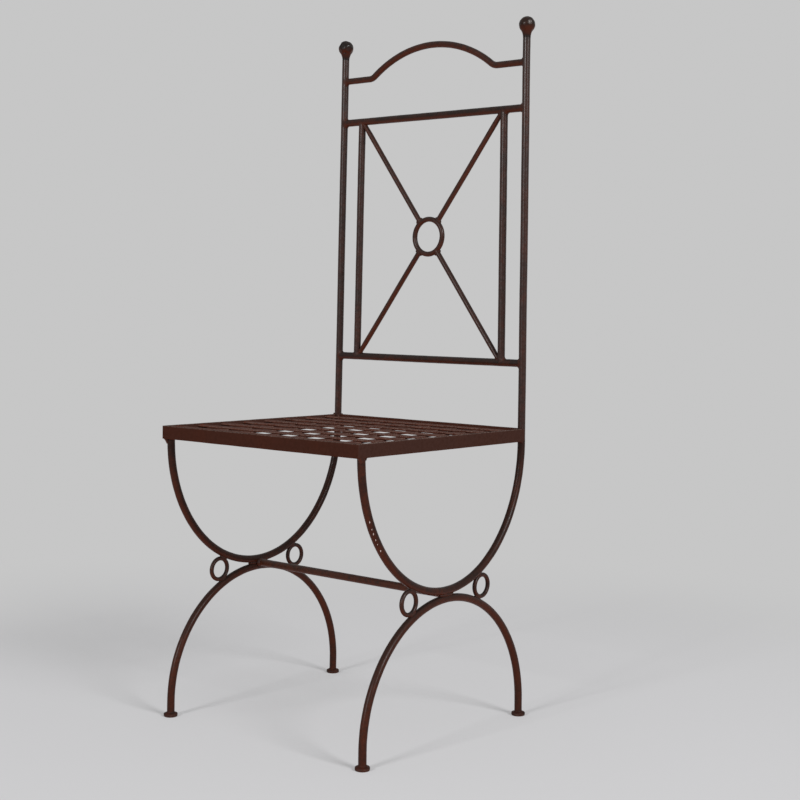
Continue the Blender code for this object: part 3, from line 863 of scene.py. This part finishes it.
down, forward, backward = -Z_AXIS, -Y_AXIS, Y_AXIS
for side, sign in SIDES:
    wall_x = sign * (SEAT_HALF_WIDTH - WALL_INSET)
    front_leg = Vector((wall_x, upper_front_y, SEAT_BOTTOM))
    weld_web(
        f"weld_leg_outer_{side}", front_leg + forward * LEG_EDGE, forward, down, 0.0060, 0.0080, 0.0031,
        40 + sign, hollow=0.25,
    )
    weld_web(
        f"weld_leg_inner_{side}", front_leg + backward * LEG_EDGE, backward, down, 0.0030, 0.0034, 0.0024,
        43 + sign,
    )
    leg_top = Vector((sign * side_x(SEAT_BOTTOM) - sign * 0.0025, upper_front_y, SEAT_BOTTOM))
    weld_fill(f"weld_leg_top_{side}", leg_top, (0.0040, 0.0056, 0.0028), 46 + sign)
    flare = 1.0 if side == "right" else 0.6
    post_foot = Vector((wall_x, POST_Y - POST_EDGE, SEAT_BOTTOM))
    weld_web(
        f"weld_post_under_{side}", post_foot, forward, down, 0.0040 * flare, 0.0040 * flare, 0.0030, 48 + sign
    )
    post_front = Vector((wall_x, POST_Y - POST_EDGE, SEAT_TOP))
    weld_web(
        f"weld_post_over_{side}", post_front, forward, Z_AXIS, 0.0036 * flare, 0.0036 * flare, 0.0030,
        51 + sign,
    )
    inner_x, back_wall = sign * (side_x(SEAT_TOP) - POST_EDGE), SEAT_BACK_Y - BACK_WALL_INSET
    inward = -X_AXIS * sign
    back_over, back_under = Vector((inner_x, back_wall, SEAT_TOP)), Vector((inner_x, back_wall, SEAT_BOTTOM))
    weld_web(f"weld_back_over_{side}", back_over, inward, Z_AXIS, 0.0016, 0.0016, 0.0028, 54 + sign)
    weld_web(f"weld_back_under_{side}", back_under, inward, down, 0.0020, 0.0020, 0.0028, 57 + sign)
    back_inside = Vector((sign * (side_x(SEAT_TOP) - 0.0045), POST_Y - 0.0045, middle_z))
    weld_fill(
        f"weld_back_inside_{side}", back_inside, (0.0026, 0.0026, 0.0094), 60 + sign
    )

for side, sign in SIDES:
    post_line = Vector((-sign * math.tan(LEAN), 0, 1))
    inward = (-sign, 0, 0)
    for which, height in rail_heights.items():
        centre = Vector((sign * side_x(height), POST_Y, height))
        weld_collar(
            f"weld_rail_{which}_{side}", centre, inward, BAR_RADIUS, post_line, BAR_RADIUS, 0.0034,
            1 + sign + height,
        )
        out = (0, 0, 1 if which == "lower" else -1)
        centre = Vector((sign * (side_x(height) - UPRIGHT_INSET), POST_Y, height))
        weld_collar(
            f"weld_upright_{which}_{side}", centre, out, BAR_RADIUS, X_AXIS, BAR_RADIUS, 0.0032,
            5 + sign + height,
        )
        corner, away = brace_ends[which, side]
        lie = Matrix((Y_AXIS.cross(away), Y_AXIS, away)).transposed()
        ring_edge = ring_centre + away * (ring_radius + BRACE_RADIUS)
        weld_fill(
            f"weld_brace_{which}_{side}", ring_edge, (0.0072, 0.0041, 0.0034), 9 + sign + height,
            lie,
        )
        weld_fill(
            f"weld_corner_{which}_{side}", corner - away * 0.002, (0.0045, 0.0044, 0.0045),
            13 + sign + height,
        )
    centre = Vector((sign * side_x(arch_end_z), POST_Y, arch_end_z))
    weld_collar(
        f"weld_arch_{side}", centre, inward, ARCH_BAR_RADIUS, post_line, BAR_RADIUS, 0.0028, 17 + sign,
    )

meeting_y = (upper_mid_y + lower_mid_y) / 2
meeting_z = (UPPER_LOWEST + LOWER_HIGHEST) / 2
for side, sign in SIDES:
    meeting = leaned(sign) @ Vector((0, meeting_y, meeting_z))
    length = 0.017 if side == "right" else 0.023
    weld_fill(f"weld_arcs_{side}", meeting, (0.0050, length, 0.0036), 21 + sign)
    stretcher_end = meeting - Vector((sign * 0.0065, 0, 0))
    weld_fill(f"weld_stretcher_{side}", stretcher_end, (0.0050, 0.0085, 0.0075), 23 + sign)
    for end in ("front", "back"):
        low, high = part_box(f"leg_ring_{end}_{side}")
        ring_middle = (low + high) / 2
        for which, path in (("upper", upper_path), ("lower", lower_path)):
            spots = [leaned(sign) @ point for point, _ in path]
            touch = min(spots, key=lambda p: (p - ring_middle).length)
            spot = touch.lerp(ring_middle, BAR_RADIUS / (touch - ring_middle).length)
            slope = math.atan2((touch - ring_middle).z, (touch - ring_middle).y)
            weld_fill(
                f"weld_ring_{which}_{end}_{side}", spot, (0.0034, 0.0036, 0.0078), 25 + sign + slope,
                Matrix.Rotation(slope, 3, "X"), rough=0.0003,
            )

# Painted glints.
# A few small pale beads sit on the front of the right upper arc, where a row of lamp glints runs
# along its lit side. Their pale colour is a painted highlight, and their gloss catches the lamps too.
GLINT_BEADS_SIDE = Vector((0.71, -0.63, -0.30)).normalized()
GLINT_BEADS_REACH = (0.00055, 0.00070, 0.00170)
GLINT_BEADS = ((24.7, 1.1), (27.9, 0.8), (30.0, 1.2), (32.9, 0.9), (35.0, 0.7), (38.4, 1.1))
painted_glint_iron = rusted_iron(
    "painted_glint_metal", (0.44, 0.34, 0.31), (0.48, 0.36, 0.32), (0.26, 0.19, 0.17), roughness=0.3, mottle=0.5,
    specks=0.0, sheen=0.8, sky=0.0, grain=0.1,
)
tenths_of_degree = half_ellipse(*upper_arc, 1800)
for seed, (degrees, size) in enumerate(GLINT_BEADS):
    place = tenths_of_degree[round(degrees * 10)][0]
    spot = leaned(1) @ place + GLINT_BEADS_SIDE * (BAR_RADIUS - 0.0001)
    reach = [half * size for half in GLINT_BEADS_REACH]
    tack(f"painted_glint_{seed + 1}", spot, reach, 70 + seed, painted_glint_iron)

# Floor.
# A grey-white studio cloth, level under the chair. What the camera sees of it glows a little, so that
# the shadows on it stay pale, and further out it melts into the pale room. It lights the chair only
# with the lamps' light that it sends back.
FLOOR_COLOUR = (0.405, 0.403, 0.413)
FLOOR_GLOW = 0.21
ROOM_TONE = 0.57
FLOOR_REACH = 40.0
CLEAR_FROM, CLEAR_TO = 0.55, 1.6


def seen_ray(nodes, links):
    """1 for a ray that shows a thing, straight, in metal or through glass, and 0 for one that lights."""
    rays = nodes.new("ShaderNodeLightPath")
    seen = rays.outputs["Is Camera Ray"]
    for other in ("Is Glossy Ray", "Is Transmission Ray"):
        either = nodes.new("ShaderNodeMath")
        either.operation = "MAXIMUM"
        links.new(seen, either.inputs[0])
        links.new(rays.outputs[other], either.inputs[1])
        seen = either.outputs["Value"]
    return seen


cloth = bmesh.new()
bmesh.ops.create_circle(cloth, cap_ends=True, segments=64, radius=FLOOR_REACH)
floor_mesh = bpy.data.meshes.new("studio_cloth")
cloth.to_mesh(floor_mesh)
cloth.free()
studio_cloth = bpy.data.objects.new("studio_cloth", floor_mesh)
bpy.context.scene.collection.objects.link(studio_cloth)
cloth_material = bpy.data.materials.new("studio_cloth_grey")
cloth_material.use_nodes = True
cloth_nodes, cloth_links = cloth_material.node_tree.nodes, cloth_material.node_tree.links
cloth_shader = cloth_nodes["Principled BSDF"]
away_from_chair = cloth_nodes.new("ShaderNodeVectorMath")
away_from_chair.operation = "LENGTH"
cloth_links.new(cloth_nodes.new("ShaderNodeTexCoord").outputs["Object"], away_from_chair.inputs[0])
seen_cloth = seen_ray(cloth_nodes, cloth_links)


def fade_out(near, far):
    """A value that runs from near at the chair to far where the cloth melts away, 0 where unseen."""
    fade = cloth_nodes.new("ShaderNodeMapRange")
    fade.interpolation_type = "SMOOTHSTEP"
    fade.inputs["From Min"].default_value = CLEAR_FROM
    fade.inputs["From Max"].default_value = CLEAR_TO
    fade.inputs["To Min"].default_value = near
    fade.inputs["To Max"].default_value = far
    cloth_links.new(away_from_chair.outputs["Value"], fade.inputs["Value"])
    if_seen = cloth_nodes.new("ShaderNodeMath")
    if_seen.operation = "MULTIPLY"
    cloth_links.new(fade.outputs["Result"], if_seen.inputs[0])
    cloth_links.new(seen_cloth, if_seen.inputs[1])
    return if_seen.outputs["Value"]


tone = cloth_nodes.new("ShaderNodeMix")
tone.data_type = "RGBA"
tone.inputs["A"].default_value = (*FLOOR_COLOUR, 1)
tone.inputs["B"].default_value = (0, 0, 0, 1)
cloth_links.new(fade_out(0.0, 1.0), tone.inputs["Factor"])
cloth_links.new(tone.outputs["Result"], cloth_shader.inputs["Base Color"])
cloth_links.new(fade_out(FLOOR_GLOW, ROOM_TONE), cloth_shader.inputs["Emission Strength"])
cloth_shader.inputs["Emission Color"].default_value = (1, 1, 1, 1)
cloth_shader.inputs["Roughness"].default_value = 0.9
cloth_shader.inputs["Specular IOR Level"].default_value = 0.0
# The glow is only seen, so no light is sampled from it.
cloth_material.cycles.emission_sampling = "NONE"
floor_mesh.materials.append(cloth_material)

# Lamps.
# Two softboxes in front, one either side of the camera, and an even pale room round them. The room
# is seen at its full tone, and lights the chair more weakly than that.
ROOM_LIGHT = 0.34
LAMP_TARGET = Vector((0, 0, 0.5))
for name, azimuth, elevation, distance, size, power in (
    ("softbox_right", 83, 28, 8.0, 2.4, 520.0),
    ("softbox_left", 0, 20, 8.0, 1.5, 370.0),
):
    turn, rise = math.radians(azimuth), math.radians(elevation)
    towards = Vector((math.sin(turn) * math.cos(rise), -math.cos(turn) * math.cos(rise), math.sin(rise)))
    lamp_data = bpy.data.lights.new(name, "AREA")
    lamp_data.size = size
    lamp_data.energy = power
    lamp = bpy.data.objects.new(name, lamp_data)
    lamp.location = LAMP_TARGET + towards * distance
    lamp.rotation_euler = (LAMP_TARGET - lamp.location).to_track_quat("-Z", "Y").to_euler()
    bpy.context.scene.collection.objects.link(lamp)
room = bpy.data.worlds.new("room")
bpy.context.scene.world = room
room.use_nodes = True
room_nodes, room_links = room.node_tree.nodes, room.node_tree.links
room_light = room_nodes["Background"]
room_light.inputs["Color"].default_value = (1, 1, 1, 1)
strength = room_nodes.new("ShaderNodeMapRange")
strength.inputs["To Min"].default_value = ROOM_LIGHT
strength.inputs["To Max"].default_value = ROOM_TONE
room_links.new(seen_ray(room_nodes, room_links), strength.inputs["Value"])
room_links.new(strength.outputs["Result"], room_light.inputs["Strength"])

# Camera.
# It stands to the front right of the chair, about 20 cm higher than the seat, and looks slightly
# down. Its place, angles and focus come from the fit of the chair to the photograph.
CAMERA_PLACE = Vector((1.501792, -1.701384, 0.644927))
CAMERA_YAW = math.radians(39.421)
CAMERA_PITCH = math.radians(-3.643)
CAMERA_ROLL = math.radians(0.970)
CAMERA_FOCUS = 1461.565
PHOTO_WIDTH = 800
SENSOR_WIDTH = 36
away = Vector((-math.sin(CAMERA_YAW), math.cos(CAMERA_YAW), 0))
beside = Vector((math.cos(CAMERA_YAW), math.sin(CAMERA_YAW), 0))
camera_data = bpy.data.cameras.new("camera")
camera_data.sensor_width = SENSOR_WIDTH
camera_data.lens = CAMERA_FOCUS / PHOTO_WIDTH * SENSOR_WIDTH
camera = bpy.data.objects.new("camera", camera_data)
look = away * math.cos(CAMERA_PITCH) + Z_AXIS * math.sin(CAMERA_PITCH)
upward = beside.cross(look)
right = beside * math.cos(CAMERA_ROLL) + upward * math.sin(CAMERA_ROLL)
upright = upward * math.cos(CAMERA_ROLL) - beside * math.sin(CAMERA_ROLL)
placing = Matrix((right, upright, -look)).transposed().to_4x4()
placing.translation = CAMERA_PLACE
camera.matrix_world = placing
bpy.context.scene.collection.objects.link(camera)
bpy.context.scene.camera = camera
bpy.context.scene.view_settings.view_transform = "Standard"

bpy.context.view_layer.update()
